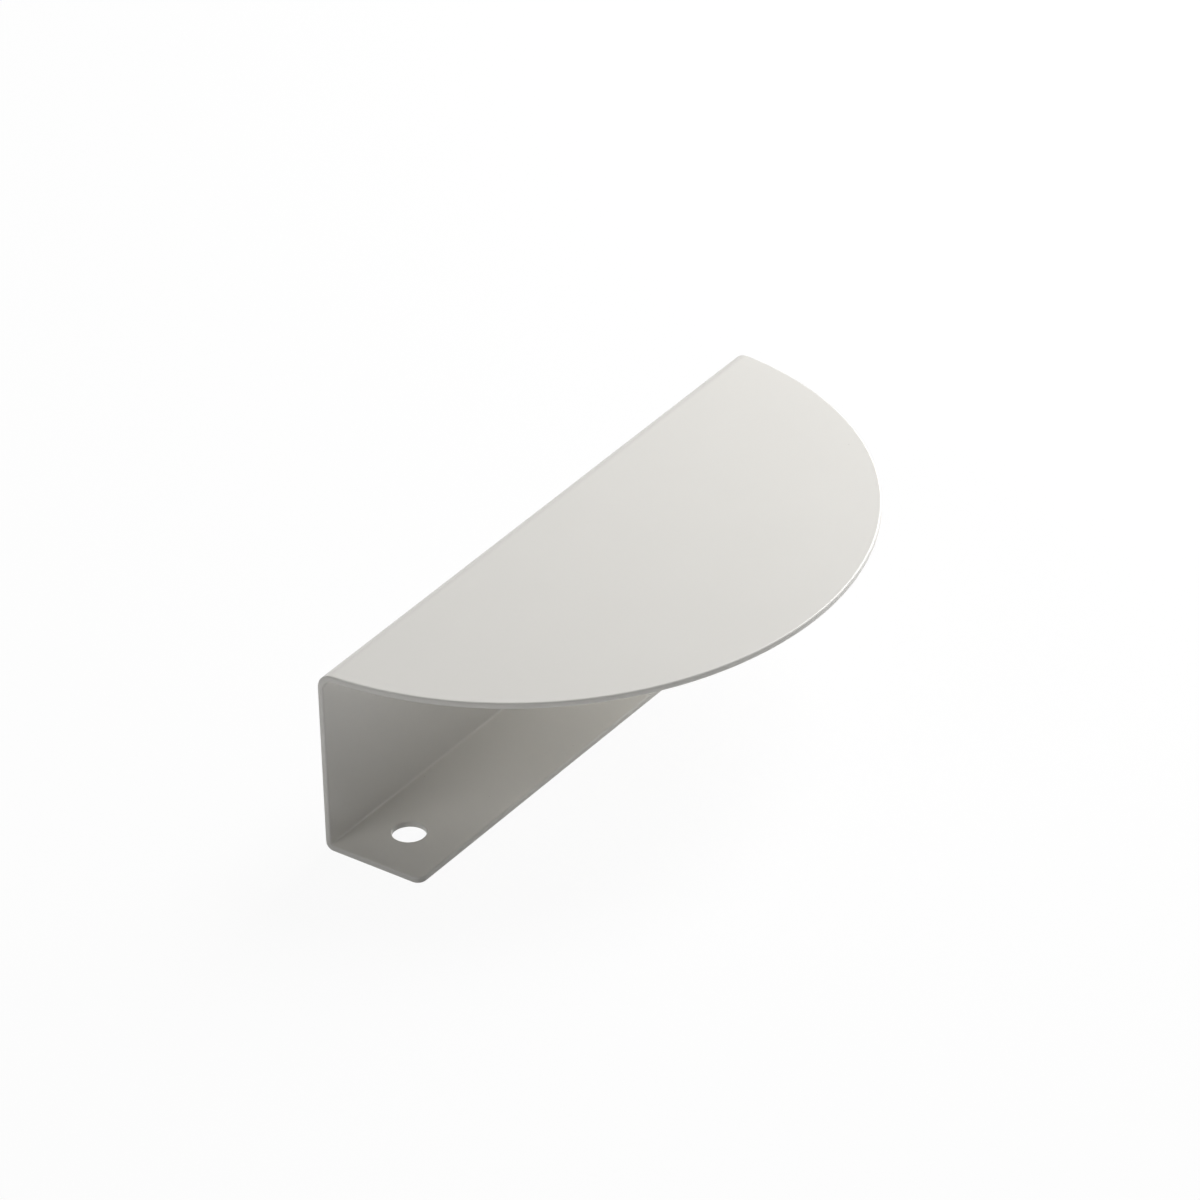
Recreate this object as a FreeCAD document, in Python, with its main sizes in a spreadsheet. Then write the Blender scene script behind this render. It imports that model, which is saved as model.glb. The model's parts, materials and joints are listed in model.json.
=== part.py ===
"""Tab pull: one strip of sheet steel, cut, pierced and folded twice, then powder coated.

A flange with two screw holes lies flat, a web stands along its back edge, and a half-round tab
reaches forward from the top of the web. The origin is midway between the two screw holes, on the
underside of the flange. X runs along the folds, the tab reaches towards -Y, and Z is up.
"""
import FreeCAD, Part

import math
import os
from enum import IntEnum

import Sketcher
from FreeCAD import Vector

NODE = "folded_pull"

# Driving sizes in millimetres. Depths run forward from the back face of the web, radii of bends
# are those of the inside face, and distances of a hole are to its centre. The tab's sides run
# straight for at least least_side, and its arcs rise at least rim_flattening less than half the
# length, so that they always turn inwards.
SIZES = {
    "pull_length": 100.0,
    "pull_height": 29.5,
    "tab_depth": 49.3,
    "flange_depth": 16.4,
    "sheet_thickness": 1.0,
    "tab_bend_radius": 1.6,
    "flange_bend_radius": 0.3,
    "flange_corner_radius": 1.4,
    "shoulder_radius": 8.0,
    "least_side": 0.2,
    "rim_flattening": 2.0,
    "hole_diameter": 4.9,
    "hole_end_distance": 8.6,
    "hole_back_distance": 8.1,
    "edge_radius": 0.3,
    "hole_edge_radius": 0.25,
}

# A rounding never takes more than this share of the sheet's thickness from one side.
THICKNESS_SHARE = 0.45

# Faces that meet at less than this angle count as running on into each other.
SMOOTH_DEGREES = 20

# An edge is told by where its middle lies, to within this distance.
PICK_DISTANCE = 0.05

# How far the flat of the tab reaches past the upper bend.
TAB_REACH = "(Sizes.tab_depth - Sizes.tab_bend_radius - Sizes.sheet_thickness)"


class Axis(IntEnum):
    """A sketch's own axes, by the numbers that its constraints know them by."""

    ACROSS = -1
    UP = -2


class Point(IntEnum):
    """The points of a stretch, by the numbers that a constraint knows them by."""

    START = 1
    END = 2
    CENTRE = 3


def make_sheet(doc):
    """Spreadsheet with one named cell for each driving size."""
    sheet = doc.addObject("Spreadsheet::Sheet", "Sizes")
    for row, (name, size) in enumerate(SIZES.items(), start=1):
        sheet.set(f"A{row}", name)
        sheet.set(f"B{row}", str(size))
        sheet.setAlias(f"B{row}", name)
    doc.recompute()
    return sheet


def origin_plane(body, role):
    """The body's own origin plane with the given role, such as XY_Plane."""
    return next(item for item in body.Origin.OriginFeatures if item.Role == role)


def add_sketch(body, name, plane):
    """Empty sketch on one of the body's origin planes."""
    sketch = body.newObject("Sketcher::SketchObject", name)
    sketch.AttachmentSupport = [(origin_plane(body, plane), "")]
    sketch.MapMode = "FlatFace"
    return sketch


def bind(sketch, name, constraint, expression):
    """Add a named dimension to a sketch and drive it from the sheet."""
    index = sketch.addConstraint(constraint)
    sketch.renameConstraint(index, name)
    sketch.setExpression(f"Constraints.{name}", expression)


def add_joints(sketch, joints):
    """Join the ends of stretches, each joint as (first, its end, second, its end, kind)."""
    for first, first_point, second, second_point, kind in joints:
        sketch.addConstraint(Sketcher.Constraint(kind, first, first_point, second, second_point))


def arc(centre_across, centre_up, radius, first_degrees, last_degrees):
    """Arc of a circle in a sketch's plane, anticlockwise from the first angle to the last."""
    circle = Part.Circle(Vector(centre_across, centre_up, 0), Vector(0, 0, 1), radius)
    return Part.ArcOfCircle(circle, math.radians(first_degrees), math.radians(last_degrees))


def line(start, end):
    """Straight stretch between two points of a sketch's plane."""
    return Part.LineSegment(Vector(*start, 0), Vector(*end, 0))


def add_fold_section(body, sheet):
    """Section across the folds: flange, lower bend, web and upper bend, one sheet thick all round."""
    thickness = sheet.sheet_thickness
    back = sheet.hole_back_distance
    front = back - sheet.flange_depth
    low_inside = sheet.flange_bend_radius
    low_outside = low_inside + thickness
    top_inside = sheet.tab_bend_radius
    top_outside = top_inside + thickness
    height = sheet.pull_height
    low_y = back - low_outside
    top_y = back - top_outside
    top_z = height - top_outside

    sketch = add_sketch(body, "FoldSection", "YZ_Plane")
    underside = sketch.addGeometry(line((front, 0), (low_y, 0)))
    low_outer = sketch.addGeometry(arc(low_y, low_outside, low_outside, 270, 360))
    web_outer = sketch.addGeometry(line((back, low_outside), (back, top_z)))
    top_outer = sketch.addGeometry(arc(top_y, top_z, top_outside, 0, 90))
    tab_root = sketch.addGeometry(line((top_y, height), (top_y, height - thickness)))
    top_inner = sketch.addGeometry(arc(top_y, top_z, top_inside, 0, 90))
    web_inner = sketch.addGeometry(line((back - thickness, top_z), (back - thickness, low_outside)))
    low_inner = sketch.addGeometry(arc(low_y, low_outside, low_inside, 270, 360))
    flange_top = sketch.addGeometry(line((low_y, thickness), (front, thickness)))
    flange_front = sketch.addGeometry(line((front, thickness), (front, 0)))

    joints = (
        (underside, Point.END, low_outer, Point.START, "Tangent"),
        (low_outer, Point.END, web_outer, Point.START, "Tangent"),
        (web_outer, Point.END, top_outer, Point.START, "Tangent"),
        (top_outer, Point.END, tab_root, Point.START, "Coincident"),
        (tab_root, Point.END, top_inner, Point.END, "Coincident"),
        (top_inner, Point.START, web_inner, Point.START, "Tangent"),
        (web_inner, Point.END, low_inner, Point.END, "Tangent"),
        (low_inner, Point.START, flange_top, Point.START, "Tangent"),
        (flange_top, Point.END, flange_front, Point.START, "Coincident"),
        (flange_front, Point.END, underside, Point.START, "Coincident"),
        (top_outer, Point.CENTRE, top_inner, Point.CENTRE, "Coincident"),
        (low_outer, Point.CENTRE, low_inner, Point.CENTRE, "Coincident"),
    )
    add_joints(sketch, joints)
    for upright in (web_outer, web_inner, tab_root, flange_front):
        sketch.addConstraint(Sketcher.Constraint("Vertical", upright))
    sketch.addConstraint(Sketcher.Constraint("PointOnObject", underside, Point.START, Axis.ACROSS))
    sketch.addConstraint(Sketcher.Constraint("Horizontal", underside))
    sketch.addConstraint(
        Sketcher.Constraint("Vertical", top_outer, Point.CENTRE, top_outer, Point.END))

    bind(sketch, "BackFace",
         Sketcher.Constraint("DistanceX", Axis.ACROSS, Point.START, web_outer, Point.START, back),
         "Sizes.hole_back_distance")
    bind(sketch, "FlangeDepth",
         Sketcher.Constraint("DistanceX", underside, Point.START, web_outer, Point.START, back - front),
         "Sizes.flange_depth")
    bind(sketch, "Height",
         Sketcher.Constraint("DistanceY", underside, Point.END, top_outer, Point.END, height),
         "Sizes.pull_height")
    bind(sketch, "Thickness",
         Sketcher.Constraint("DistanceY", underside, Point.START, flange_top, Point.END, thickness),
         "Sizes.sheet_thickness")
    bind(sketch, "LowInside", Sketcher.Constraint("Radius", low_inner, low_inside),
         "Sizes.flange_bend_radius")
    bind(sketch, "TopInside", Sketcher.Constraint("Radius", top_inner, top_inside),
         "Sizes.tab_bend_radius")
    bind(sketch, "TopOutside", Sketcher.Constraint("Radius", top_outer, top_outside),
         "Sizes.tab_bend_radius + Sizes.sheet_thickness")
    return sketch


def add_folds(body, sheet):
    """The section drawn out evenly to both sides of the middle."""
    section = add_fold_section(body, sheet)
    pad = body.newObject("PartDesign::Pad", "Folds")
    pad.Profile = section
    pad.SideType = "Symmetric"
    pad.setExpression("Length", "Sizes.pull_length")
    return pad


def add_tab(body, sheet):
    """Half-round tab, from one end of the upper bend round the rim to the other end.

    Its sides run on straight from the ends of the bend, a short shoulder arc turns each of them
    in, and the rim's arc touches both shoulders. Where the tab reaches further than half its
    length, the straight sides take up the rest. With the arcs' rise above the sides, the rim's
    centre lies a distance c behind the shoulders' centres, where
    c = ((length / 2 - shoulder)^2 - (rise - shoulder)^2) / (2 (rise - shoulder)).
    """
    half_length = sheet.pull_length / 2
    shoulder = sheet.shoulder_radius
    root_y = sheet.hole_back_distance - sheet.tab_bend_radius - sheet.sheet_thickness
    rim_y = sheet.hole_back_distance - sheet.tab_depth
    reach = root_y - rim_y
    rise = min(reach - sheet.least_side, half_length - sheet.rim_flattening)
    side = reach - rise
    side_y = root_y - side
    across = half_length - shoulder
    ahead = rise - shoulder
    behind = (across**2 - ahead**2) / (2 * ahead)
    turn = math.degrees(math.atan2(behind, across))

    sketch = add_sketch(body, "TabOutline", "XY_Plane")
    sketch.setExpression("AttachmentOffset.Base.z", "Sizes.pull_height - Sizes.sheet_thickness")
    root = sketch.addGeometry(line((half_length, root_y), (-half_length, root_y)))
    left_side = sketch.addGeometry(line((-half_length, root_y), (-half_length, side_y)))
    left = sketch.addGeometry(arc(-across, side_y, shoulder, 180, 180 + turn))
    rim = sketch.addGeometry(arc(0, side_y + behind, rise + behind, 180 + turn, 360 - turn))
    right = sketch.addGeometry(arc(across, side_y, shoulder, 360 - turn, 360))
    right_side = sketch.addGeometry(line((half_length, side_y), (half_length, root_y)))
    rim_middle = sketch.addGeometry(Part.Point(Vector(0, rim_y, 0)), True)

    joints = (
        (root, Point.END, left_side, Point.START, "Coincident"),
        (left_side, Point.END, left, Point.START, "Tangent"),
        (left, Point.END, rim, Point.START, "Tangent"),
        (rim, Point.END, right, Point.START, "Tangent"),
        (right, Point.END, right_side, Point.START, "Tangent"),
        (right_side, Point.END, root, Point.START, "Coincident"),
    )
    add_joints(sketch, joints)
    for side_line in (left_side, right_side):
        sketch.addConstraint(Sketcher.Constraint("Vertical", side_line))
    sketch.addConstraint(Sketcher.Constraint("Equal", left, right))
    sketch.addConstraint(Sketcher.Constraint("Equal", left_side, right_side))
    sketch.addConstraint(
        Sketcher.Constraint("Symmetric", root, Point.START, root, Point.END, Axis.UP))
    sketch.addConstraint(Sketcher.Constraint("PointOnObject", rim_middle, Point.START, Axis.UP))
    sketch.addConstraint(Sketcher.Constraint("PointOnObject", rim_middle, Point.START, rim))
    bind(sketch, "Length", Sketcher.Constraint("Distance", root, 2 * half_length),
         "Sizes.pull_length")
    bind(sketch, "Side", Sketcher.Constraint("Distance", right_side, side),
         f"{TAB_REACH} - min({TAB_REACH} - Sizes.least_side;"
         " Sizes.pull_length / 2 - Sizes.rim_flattening)")
    bind(sketch, "Shoulder", Sketcher.Constraint("Radius", right, shoulder),
         "Sizes.shoulder_radius")
    bind(sketch, "Root",
         Sketcher.Constraint("DistanceY", Axis.ACROSS, Point.START, root, Point.END, root_y),
         "Sizes.hole_back_distance - Sizes.tab_bend_radius - Sizes.sheet_thickness")
    bind(sketch, "Reach",
         Sketcher.Constraint("DistanceY", rim_middle, Point.START, root, Point.END, reach), TAB_REACH)

    pad = body.newObject("PartDesign::Pad", "Tab")
    pad.Profile = sketch
    pad.setExpression("Length", "Sizes.sheet_thickness")
    return pad


def is_sharp(shape, edge):
    """Whether the faces on both sides of an edge meet at a corner there, and not smoothly."""
    middle = edge.valueAt((edge.FirstParameter + edge.LastParameter) / 2)
    normals = [face.normalAt(*face.Surface.parameter(middle))
               for face in shape.ancestorsOfType(edge, Part.Face)]
    return len(normals) == 2 and math.degrees(normals[0].getAngle(normals[1])) > SMOOTH_DEGREES


def edge_names(shape, wanted):
    """Names of the edges of a shape for which the test holds."""
    return [f"Edge{number}" for number, edge in enumerate(shape.Edges, start=1) if wanted(edge)]


def add_fillet(body, name, wanted, radius):
    """Round the edges that the test picks from the body as it stands."""
    base = body.Tip
    fillet = body.newObject("PartDesign::Fillet", name)
    fillet.Base = (base, edge_names(base.Shape, wanted))
    fillet.setExpression("Radius", radius)
    return fillet


def add_screw_holes(body, sheet):
    """One clearance hole through the flange near its right end, and its mirror image at the left."""
    centre_x = sheet.pull_length / 2 - sheet.hole_end_distance
    radius = sheet.hole_diameter / 2
    sketch = add_sketch(body, "ScrewHole", "XY_Plane")
    circle = sketch.addGeometry(Part.Circle(Vector(centre_x, 0, 0), Vector(0, 0, 1), radius))
    sketch.addConstraint(Sketcher.Constraint("PointOnObject", circle, Point.CENTRE, Axis.ACROSS))
    bind(sketch, "CentreX",
         Sketcher.Constraint("DistanceX", Axis.ACROSS, Point.START, circle, Point.CENTRE, centre_x),
         "Sizes.pull_length / 2 - Sizes.hole_end_distance")
    bind(sketch, "Diameter", Sketcher.Constraint("Diameter", circle, 2 * radius),
         "Sizes.hole_diameter")

    hole = body.newObject("PartDesign::Pocket", "RightHole")
    hole.Profile = sketch
    hole.Reversed = True
    hole.setExpression("Length", "Sizes.sheet_thickness")

    pair = body.newObject("PartDesign::Mirrored", "HolePair")
    pair.Originals = [hole]
    pair.MirrorPlane = (origin_plane(body, "YZ_Plane"), [""])
    body.Tip = pair
    return pair


def make_pull(doc, sheet):
    """The whole pull as one body."""
    body = doc.addObject("PartDesign::Body", "FoldedPull")
    body.Label = NODE
    add_folds(body, sheet)
    add_tab(body, sheet)
    doc.recompute()

    flange_front = sheet.hole_back_distance - sheet.flange_depth
    corners = [Vector(side * sheet.pull_length / 2, flange_front, sheet.sheet_thickness / 2)
               for side in (-1, 1)]
    add_fillet(
        body, "FlangeCorners",
        lambda edge: any(edge.CenterOfMass.isEqual(corner, PICK_DISTANCE) for corner in corners),
        "Sizes.flange_corner_radius",
    )
    doc.recompute()

    add_screw_holes(body, sheet)
    doc.recompute()

    shape = body.Tip.Shape
    add_fillet(
        body, "CoatedEdges",
        lambda edge: is_sharp(shape, edge) and not edge.isClosed(),
        f"min(Sizes.edge_radius; {THICKNESS_SHARE} * Sizes.sheet_thickness)",
    )
    doc.recompute()

    add_fillet(
        body, "CoatedHoleEdges",
        lambda edge: edge.isClosed(),
        f"min(Sizes.hole_edge_radius; {THICKNESS_SHARE} * Sizes.sheet_thickness)",
    )
    doc.recompute()
    return body


def check(doc, bodies):
    """Stop if any object of the document failed or any piece is not one sound solid."""
    failed = [item.Name for item in doc.Objects if {"Invalid", "Error"} & set(item.State)]
    if failed:
        raise RuntimeError("failed objects: " + ", ".join(failed))
    for body in bodies:
        if body.Shape.isNull() or not body.Shape.isValid() or len(body.Shape.Solids) != 1:
            raise RuntimeError(f"{body.Label} is not one valid solid")


doc = FreeCAD.newDocument("TabPull")
sizes = make_sheet(doc)
pull = make_pull(doc, sizes)
check(doc, [pull])

os.makedirs("parts", exist_ok=True)
pull.Shape.exportStep(f"parts/{pull.Label}.step")
print(pull.Label, "volume", round(pull.Shape.Volume, 1), "faces", len(pull.Shape.Faces))
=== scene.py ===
"""Tab pull: sheet steel, cut, pierced, bent twice and powder coated, standing on a pale floor."""

import json
import math

import bmesh
import bpy
import numpy as np
from mathutils import Matrix, Vector


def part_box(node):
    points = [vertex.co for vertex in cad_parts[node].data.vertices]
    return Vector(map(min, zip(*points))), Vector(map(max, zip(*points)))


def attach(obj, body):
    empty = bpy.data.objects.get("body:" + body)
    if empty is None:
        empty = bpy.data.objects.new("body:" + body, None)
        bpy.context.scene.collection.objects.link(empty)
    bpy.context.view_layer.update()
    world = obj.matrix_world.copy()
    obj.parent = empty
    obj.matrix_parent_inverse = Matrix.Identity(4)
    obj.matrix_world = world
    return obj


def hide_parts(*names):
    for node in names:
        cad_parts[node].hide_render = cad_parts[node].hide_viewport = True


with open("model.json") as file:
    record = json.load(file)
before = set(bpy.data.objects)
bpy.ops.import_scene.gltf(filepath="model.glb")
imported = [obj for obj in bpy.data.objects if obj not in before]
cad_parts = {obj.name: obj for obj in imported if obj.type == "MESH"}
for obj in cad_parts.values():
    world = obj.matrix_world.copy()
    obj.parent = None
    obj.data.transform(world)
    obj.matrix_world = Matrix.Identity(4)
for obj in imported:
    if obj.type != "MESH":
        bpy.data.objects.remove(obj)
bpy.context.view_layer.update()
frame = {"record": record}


# The folded pull is one blank of 1 mm sheet steel: a rectangle that ends in a half-disc, with two
# screw holes pierced near its front corners. A press brake bends it twice, into a flange, a web
# and a tab, and a pale grey powder coat then covers every face and rounds every cut edge.
low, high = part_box("folded_pull")
screws = next(m for m in frame["record"]["mounts"] if m["name"] == "screw_holes")

half_length = high.x
sheet = 0.001
flange_depth = 0.0164
lower_inside = 0.0003
upper_inside = 0.0016
flange_corner = 0.0014
cut_edge = 0.0003
hole_edge = 0.00025

half_sheet = sheet / 2
lower_outside = lower_inside + sheet
upper_outside = upper_inside + sheet
quarter_turn = math.pi / 2
flange_front = high.y - flange_depth

hole_radius = screws["dims"]["hole_r_mm"] / 1000
hole_across = screws["dims"]["spacing_x_mm"] / 2000
hole_along = screws["pos_m"][1] - flange_front

# Length and turn of each stretch along the middle of the sheet, from the flange's front.
stretches = (
    (flange_depth - lower_outside, 0),
    ((lower_inside + half_sheet) * quarter_turn, quarter_turn),
    (high.z - lower_outside - upper_outside, 0),
    ((upper_inside + half_sheet) * quarter_turn, quarter_turn),
    (high.y - upper_outside - low.y, 0),
)
stretch_starts = np.concatenate(([0], np.cumsum([length for length, turn in stretches])))
flange_end, web_start, web_end, tab_start, blank_end = stretch_starts[1:]
disc_radius = blank_end - web_end

# The flat sides stop short of the cut edges' rounding. Round each hole they leave out a square
# block of their grid, which a ring fills.
face_half_width = half_length - cut_edge
face_disc_radius = disc_radius - cut_edge
corner_start = half_length - flange_corner
half_block = 0.004

# The even steps along a block's side, over a corner, out over a ring, over a quarter of a rounded
# edge and up the tab, and the distance within which two points are one.
block_steps = 16
corner_steps = 4
ring_steps = 6
edge_steps = 6
tab_steps = 40
merge_gap = 1e-6


def fold(across, along, out):
    """Places of points of the flat blank once it is bent, and the sheet's two ways there.

    A point lies a distance across from the middle, a distance along the middle of the sheet's
    thickness, and a distance out of that middle towards the outer side. Taken stretch by stretch
    with a heading h, a flat adds its run in that heading, and a bend of radius r through the
    angle a adds r (sin(h + a) - sin h) forward and r (cos h - cos(h + a)) up, and turns h by a.
    """
    forward = np.full(along.shape, flange_front)
    up = np.full(along.shape, half_sheet)
    heading = np.zeros(along.shape)
    for start, (length, turn) in zip(stretch_starts, stretches):
        run = np.clip(along - start, 0, length)
        if turn:
            bend = length / turn
            ahead = heading + run / bend
            forward += bend * (np.sin(ahead) - np.sin(heading))
            up += bend * (np.cos(heading) - np.cos(ahead))
            heading = ahead
        else:
            forward += run * np.cos(heading)
            up += run * np.sin(heading)
    still = np.zeros(along.shape)
    onward = np.stack((still, np.cos(heading), np.sin(heading)), axis=-1)
    outward = np.stack((still, np.sin(heading), -np.cos(heading)), axis=-1)
    places = np.stack((across, forward, up), axis=-1) + out[..., None] * outward
    return places, onward, outward


def divide(start, *parts):
    """Values from the start on, where each part is a stop and how many even steps lead to it."""
    values = [np.array([start])]
    for stop, steps in parts:
        values.append(np.linspace(values[-1][-1], stop, steps + 1)[1:])
    return np.concatenate(values)


def round_corners(across, along):
    """Points of a flat side with the flange's two front corners rounded.

    In each corner a square with sides p and q from 0 to 1 becomes a quarter disc: p goes to
    p sqrt(1 - q^2 / 2), and q to q sqrt(1 - p^2 / 2).
    """
    radius = flange_corner - cut_edge
    p = np.clip((np.abs(across) - corner_start) / radius, 0, None)
    q = np.clip((flange_corner - along) / radius, 0, None)
    in_corner = (p > 0) & (q > 0)
    round_across = corner_start + radius * p * np.sqrt(1 - q**2 / 2)
    round_along = flange_corner - radius * q * np.sqrt(1 - p**2 / 2)
    return (np.where(in_corner, np.sign(across) * round_across, across),
            np.where(in_corner, round_along, along))


def tab_grid(root, share):
    """Points (across, along) of the tab, row by row past its root, from the disc's centre.

    The tab has four sides: the root, an arc up each side as far as the diagonal, and the top arc
    between the diagonals. A point is the blend of the sides to its left and right, plus the blend
    of the sides before and past it, less the blend of the four corners. The share goes from 0 at
    the left side to 1 at the right.
    """
    diagonal = quarter_turn / 2
    root_angle = math.asin((tab_start - web_end) / face_disc_radius)
    rise = np.linspace(0, 1, tab_steps + 1)[1:, None]
    side_angles = root_angle + rise * (diagonal - root_angle)
    top_angles = quarter_turn + diagonal - share * quarter_turn
    right = face_disc_radius * np.stack((np.cos(side_angles), np.sin(side_angles)), axis=-1)
    left = right * (-1, 1)
    top = face_disc_radius * np.stack((np.cos(top_angles), np.sin(top_angles)), axis=-1)
    rise, share = rise[..., None], share[:, None]
    sides = (1 - rise) * root + rise * top + (1 - share) * left + share * right
    corners = ((1 - share) * ((1 - rise) * root[0] + rise * top[0])
               + share * ((1 - rise) * root[-1] + rise * top[-1]))
    return sides - corners


def face_grid():
    """Points (across, along) of one flat side of the blank, as two grids.

    Rows run straight across up to the tab, and from the web's end they are as wide as the disc
    is there: the square root of its radius squared less the way into it squared.
    """
    half_columns = divide(
        0, (hole_across - half_block, 37), (hole_across + half_block, block_steps),
        (corner_start, 5), (face_half_width, corner_steps))
    columns = np.concatenate((-half_columns[:0:-1], half_columns))
    rows = divide(
        cut_edge, (flange_corner, corner_steps), (hole_along - half_block, 4),
        (hole_along + half_block, block_steps), (flange_end, 3), (web_start, 12), (web_end, 26),
        (tab_start, 16))
    into_disc = np.clip(rows - web_end, 0, None)
    widths = np.sqrt(face_disc_radius**2 - into_disc**2) / face_half_width
    across, along = round_corners(
        columns * widths[:, None], np.repeat(rows[:, None], len(columns), axis=1))
    root = np.stack((across[-1], along[-1] - web_end), axis=-1)
    tab = tab_grid(root, (columns / face_half_width + 1) / 2)
    return (np.concatenate((across, tab[..., 0])),
            np.concatenate((along, tab[..., 1] + web_end)))


def around(grid):
    """The border of a grid as one loop, from its first corner along its first row and back."""
    return np.concatenate((grid[0, :-1], grid[:-1, -1], grid[-1, :0:-1], grid[:0:-1, 0]))


def flat_side(across, along, side):
    """Patch of flat sheet on one side of its middle, the outer at 1 and the inner at -1."""
    level = np.zeros(across.shape)
    return across, along, level + side * half_sheet, level, level, level + side


def rounded_edge(across, along, out_across, out_along, radius):
    """Patch round a cut edge, from the outer side over a rounding, the wall and another rounding.

    Each rounding is a quarter circle about a centre one radius inside both the wall and the side:
    at the angle a from the sheet's outward way it lies radius sin a past the loop and
    radius cos a out of its centre. The patch's normal has the same sine and cosine.
    """
    turn = np.linspace(0, quarter_turn, edge_steps + 1)
    turn = np.concatenate((turn, turn + quarter_turn))[:, None]
    side = np.where(np.arange(len(turn)) < len(turn) / 2, 1, -1)[:, None]
    past, out = np.sin(turn), np.cos(turn)
    return (across + radius * past * out_across, along + radius * past * out_along,
            side * (half_sheet - radius) + radius * out,
            past * out_across, past * out_along, out)


points, normals, faces = [], [], []


def add_patch(patch, closed=False, kept=slice(None)):
    """Fold a patch of the blank, and add its points, its normals and its quads to the pull's.

    A patch is six grids: places across, along and out, and how far its normal points in each of
    those ways. A closed patch joins its last column to its first. Kept says which quads stay.
    """
    across, along, out, way_across, way_along, way_out = np.broadcast_arrays(*patch)
    places, onward, outward = fold(across, along, out)
    still = np.zeros(across.shape)
    sideways = np.stack((way_across, still, still), axis=-1)
    numbers = sum(map(len, points)) + np.arange(across.size).reshape(across.shape)
    if closed:
        numbers = np.concatenate((numbers, numbers[:, :1]), axis=1)
    cells = np.stack(
        (numbers[:-1, :-1], numbers[:-1, 1:], numbers[1:, 1:], numbers[1:, :-1]), axis=-1)
    points.append(places.reshape(-1, 3))
    normals.append((sideways + way_along[..., None] * onward
                    + way_out[..., None] * outward).reshape(-1, 3))
    faces.append(cells[kept].reshape(-1, 4))


face_across, face_along = face_grid()

# The way out of the outline: away from the disc's centre past the web, and before it away from a
# rectangle that lies one corner radius inside.
rim_across, rim_along = around(face_across), around(face_along)
in_disc = rim_along > web_end
away_across = rim_across - np.where(in_disc, 0, np.clip(rim_across, -corner_start, corner_start))
away_along = rim_along - np.where(in_disc, web_end, np.clip(rim_along, flange_corner, None))
away = np.hypot(away_across, away_along)
add_patch(rounded_edge(rim_across, rim_along, away_across / away, away_along / away, cut_edge),
          closed=True)

# Each hole has a ring on both sides, from its block's border, corner by corner, to the lip.
lip_angles = quarter_turn * (np.arange(4 * block_steps) / block_steps - 1.5)
lip_cos, lip_sin = np.cos(lip_angles), np.sin(lip_angles)
lip_radius = hole_radius + hole_edge
inward = np.linspace(0, 1, ring_steps + 1)[:, None]
for centre in (-hole_across, hole_across):
    in_block = ((np.abs(face_across - centre) < half_block + merge_gap)
                & (np.abs(face_along - hole_along) < half_block + merge_gap))
    block_across, block_along = (
        around(grid[in_block].reshape(block_steps + 1, block_steps + 1))
        for grid in (face_across, face_along))
    lip_across = centre + lip_radius * lip_cos
    lip_along = hole_along + lip_radius * lip_sin
    ring_across = block_across + inward * (lip_across - block_across)
    ring_along = block_along + inward * (lip_along - block_along)
    for side in (1, -1):
        add_patch(flat_side(ring_across, ring_along, side), closed=True)
    add_patch(rounded_edge(lip_across, lip_along, -lip_cos, -lip_sin, hole_edge), closed=True)

cell_across = (face_across[:-1, :-1] + face_across[1:, 1:]) / 2
cell_along = (face_along[:-1, :-1] + face_along[1:, 1:]) / 2
outside_blocks = ((np.abs(np.abs(cell_across) - hole_across) > half_block)
                  | (np.abs(cell_along - hole_along) > half_block))
for side in (1, -1):
    add_patch(flat_side(face_across, face_along, side), kept=outside_blocks)

mesh = bpy.data.meshes.new("coated_pull")
mesh.from_pydata(np.concatenate(points).tolist(), [], np.concatenate(faces).tolist())
true_normals = mesh.attributes.new("true_normal", "FLOAT_VECTOR", "POINT")
true_normals.data.foreach_set("vector", np.concatenate(normals).ravel())

# The patches are joined into one closed skin, and the vertices left over in the blocks go. The
# worked-out normals come through the merge as an attribute, and then shade the skin.
skin = bmesh.new()
skin.from_mesh(mesh)
bmesh.ops.remove_doubles(skin, verts=skin.verts, dist=merge_gap)
loose = [vertex for vertex in skin.verts if not vertex.link_faces]
bmesh.ops.delete(skin, geom=loose, context="VERTS")
bmesh.ops.recalc_face_normals(skin, faces=skin.faces)
skin.to_mesh(mesh)
skin.free()
mesh.shade_smooth()
merged_normals = np.empty(len(mesh.vertices) * 3)
mesh.attributes["true_normal"].data.foreach_get("vector", merged_normals)
mesh.normals_split_custom_set_from_vertices(merged_normals.reshape(-1, 3).tolist())
mesh.attributes.remove(mesh.attributes["true_normal"])
coated_pull = bpy.data.objects.new("coated_pull", mesh)
bpy.context.scene.collection.objects.link(coated_pull)


class Signal:
    """A shader socket as a value: arithmetic on it adds Math nodes, and node() any other node."""

    def __init__(self, tree, socket=None):
        self.tree = tree
        self.socket = socket

    def node(self, kind, settings=None, output=0, **sockets):
        """Add a node, make its settings, and give its sockets their values or links.

        A socket goes by its name, with _ for a space, or by its number after a _. What comes back
        is one of its outputs, by name or number.
        """
        made = self.tree.nodes.new(kind)
        for name, value in (settings or {}).items():
            setattr(made, name, value)
        for name, value in sockets.items():
            key = int(name[1:]) if name[1:].isdigit() else name.replace("_", " ")
            if isinstance(value, Signal):
                self.tree.links.new(value.socket, made.inputs[key])
            else:
                made.inputs[key].default_value = value
        return Signal(self.tree, made.outputs[output] if made.outputs else None)

    def math(self, operation, first, second):
        """One Math node on two numbers or signals."""
        return self.node("ShaderNodeMath", {"operation": operation}, _0=first, _1=second)

    def __add__(self, other):
        return self.math("ADD", self, other)

    def __sub__(self, other):
        return self.math("SUBTRACT", self, other)

    def __rsub__(self, other):
        return self.math("SUBTRACT", other, self)

    def __mul__(self, other):
        return self.math("MULTIPLY", self, other)

    __radd__ = __add__
    __rmul__ = __mul__


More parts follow.
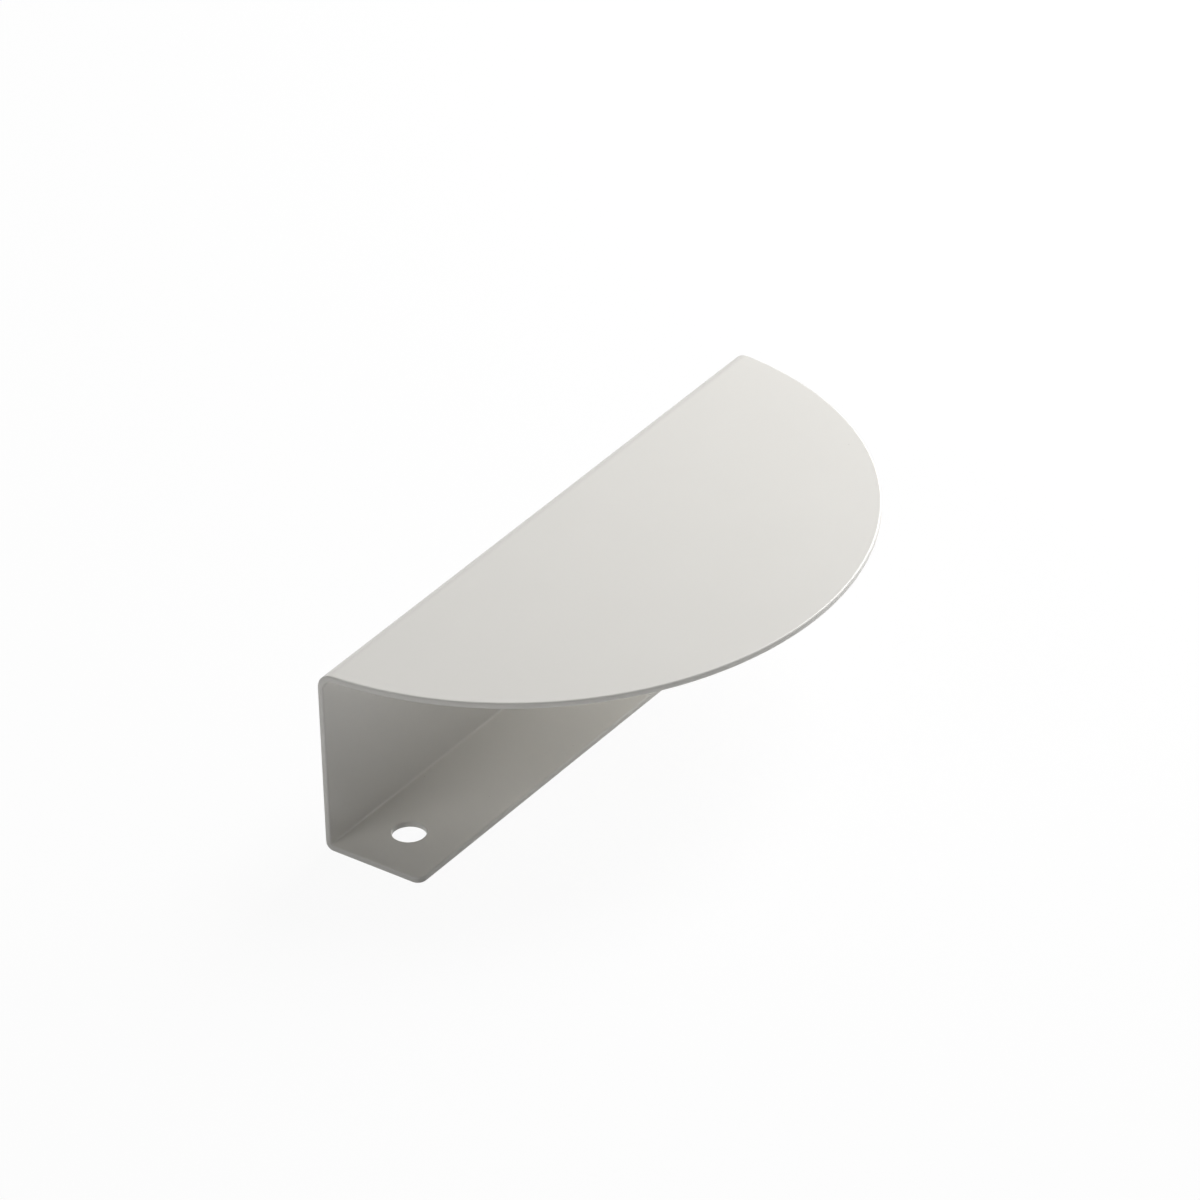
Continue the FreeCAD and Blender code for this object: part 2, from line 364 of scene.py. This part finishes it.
coat = bpy.data.materials.new("powder_coat")
coat.use_nodes = True
coat.node_tree.nodes.clear()
paint = Signal(coat.node_tree)
position = paint.node("ShaderNodeTexCoord", output="Object")


def ripple(size, detail):
    """Even noise between 0 and 1 whose bumps are about so many metres across."""
    return paint.node("ShaderNodeTexNoise", Vector=position, Scale=1 / size, Detail=detail)


def specks(spacing, radius):
    """Round specks so many metres apart: 1 at a speck's middle, falling evenly to 0 at its rim."""
    nearest = paint.node("ShaderNodeTexVoronoi", Vector=position, Scale=1 / spacing)
    return paint.math("MAXIMUM", 1 - nearest * (spacing / radius), 0.0)


def blend(share, first, second):
    """The first colour where the share is 0, and the second where it is 1."""
    return paint.node("ShaderNodeMix", {"data_type": "RGBA"}, output=2,
                      _0=share, _6=first, _7=second)


# The powder has melted into a smooth skin: a faint ripple, a finer grain, a slow drift of tone and
# gloss, and here and there a speck of dust under the clear top of the coat. Heights are in metres.
peel = ripple(size=0.0011, detail=1.0)
grain = ripple(size=0.00022, detail=2.0)
drift = ripple(size=0.014, detail=2.0)
dust = specks(spacing=0.0055, radius=0.00013)

deep_grey = (0.705, 0.690, 0.653, 1)
pale_grey = (0.735, 0.720, 0.683, 1)
dust_brown = (0.30, 0.27, 0.24, 1)
peel_height, grain_height, dust_height = 4e-6, 1.4e-6, 3e-6
even_roughness, roughness_drift = 0.5, 0.06

tone = blend(drift * 0.6 + grain * 0.4, deep_grey, pale_grey)
tone = blend(dust * 0.5, tone, dust_brown)
height = peel * peel_height + grain * grain_height + dust * dust_height
relief = paint.node("ShaderNodeBump", Height=height, Strength=1.0, Distance=1.0)
finish = paint.node(
    "ShaderNodeBsdfPrincipled", Base_Color=tone,
    Roughness=even_roughness + (drift - 0.5) * roughness_drift, IOR=1.5,
    Coat_Weight=0.4, Coat_Roughness=0.2, Normal=relief)
paint.node("ShaderNodeOutputMaterial", Surface=finish)
mesh.materials.append(coat)

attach(coated_pull, "root")
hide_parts("folded_pull")


# The floor is one plain sheet of white paper, wide enough to fill every view of the pull. Eyes and
# glosses see it near white, and it keeps the pull's shadow, while its light on the pull is plain.
floor_half = 3.0
white_share = 0.94
floor_mesh = bpy.data.meshes.new("floor")
floor_mesh.from_pydata(
    [(-floor_half, -floor_half, 0), (floor_half, -floor_half, 0),
     (floor_half, floor_half, 0), (-floor_half, floor_half, 0)], [], [(0, 1, 2, 3)])
floor = bpy.data.objects.new("floor", floor_mesh)
bpy.context.scene.collection.objects.link(floor)


def seen_directly(shader):
    """1 for a ray from the camera, a gloss or a clear piece, and 0 for one that gathers light."""
    camera_ray, glossy_ray, clear_ray = (
        shader.node("ShaderNodeLightPath", output=f"Is {kind} Ray")
        for kind in ("Camera", "Glossy", "Transmission"))
    return shader.math("MAXIMUM", camera_ray, shader.math("MAXIMUM", glossy_ray, clear_ray))


paper = bpy.data.materials.new("white_paper")
paper.use_nodes = True
paper.node_tree.nodes.clear()
sheet_white = Signal(paper.node_tree)
lit = sheet_white.node("ShaderNodeBsdfDiffuse", Color=(0.93, 0.93, 0.93, 1))
glow = sheet_white.node("ShaderNodeEmission", Color=(1, 1, 1, 1), Strength=1.0)
shown = sheet_white.node(
    "ShaderNodeMixShader", _0=seen_directly(sheet_white) * white_share, _1=lit, _2=glow)
sheet_white.node("ShaderNodeOutputMaterial", Surface=shown)
floor_mesh.materials.append(paper)


# The light is a studio's: a dim room with white walls, and four soft boxes. The first lights the
# tab, one near on the same side reaches in under it, a weak low one in front softens the shade on
# the web, and a weak one on the left fills the open end.
room = bpy.data.worlds.new("room")
bpy.context.scene.world = room
room.use_nodes = True
room.node_tree.nodes.clear()
air = Signal(room.node_tree)
dim = air.node("ShaderNodeBackground", Color=(1, 1, 1, 1), Strength=0.03)
white = air.node("ShaderNodeBackground", Color=(1, 1, 1, 1), Strength=1.0)
walls = air.node("ShaderNodeMixShader", _0=seen_directly(air), _1=dim, _2=white)
air.node("ShaderNodeOutputWorld", Surface=walls)

# Each soft box has a place, a side and a power in watts, and they all face the pull's middle.
soft_boxes = {
    "right": ((0.503, -0.087, 0.613), 0.4, 4.5),
    "near_right": ((0.355, -0.065, 0.169), 0.22, 1.02),
    "low_front": ((0.558, -0.555, 0.166), 0.3, 0.2),
    "left": ((-0.614, 0.201, 0.459), 0.3, 1.1),
}
pull_middle = Vector((0, -0.01, 0.02))
for name, (place, side, power) in soft_boxes.items():
    lamp = bpy.data.lights.new(name, "AREA")
    lamp.shape = "SQUARE"
    lamp.size = side
    lamp.energy = power
    holder = bpy.data.objects.new(name, lamp)
    holder.location = place
    facing = (pull_middle - Vector(place)).to_track_quat("-Z", "Y")
    holder.rotation_euler = facing.to_euler()
    holder.visible_camera = False
    bpy.context.scene.collection.objects.link(holder)


# The camera stands off to the front left, a little over a metre away, and looks down at the pull
# through a long lens.
camera_place = Vector((-0.876528, -0.657027, 0.734076))
camera_aim = Vector((-0.001228, -0.004469, 0.019005))
camera_roll = math.radians(-1.9445)
view = bpy.data.cameras.new("view")
view.sensor_width = 36
view.lens = 278.667
camera = bpy.data.objects.new("view", view)
turned = (camera_aim - camera_place).to_track_quat("-Z", "Y").to_matrix()
turned = turned @ Matrix.Rotation(camera_roll, 3, "Z")
camera.matrix_world = Matrix.Translation(camera_place) @ turned.to_4x4()
bpy.context.scene.collection.objects.link(camera)
bpy.context.scene.camera = camera
bpy.context.scene.view_settings.view_transform = "Standard"
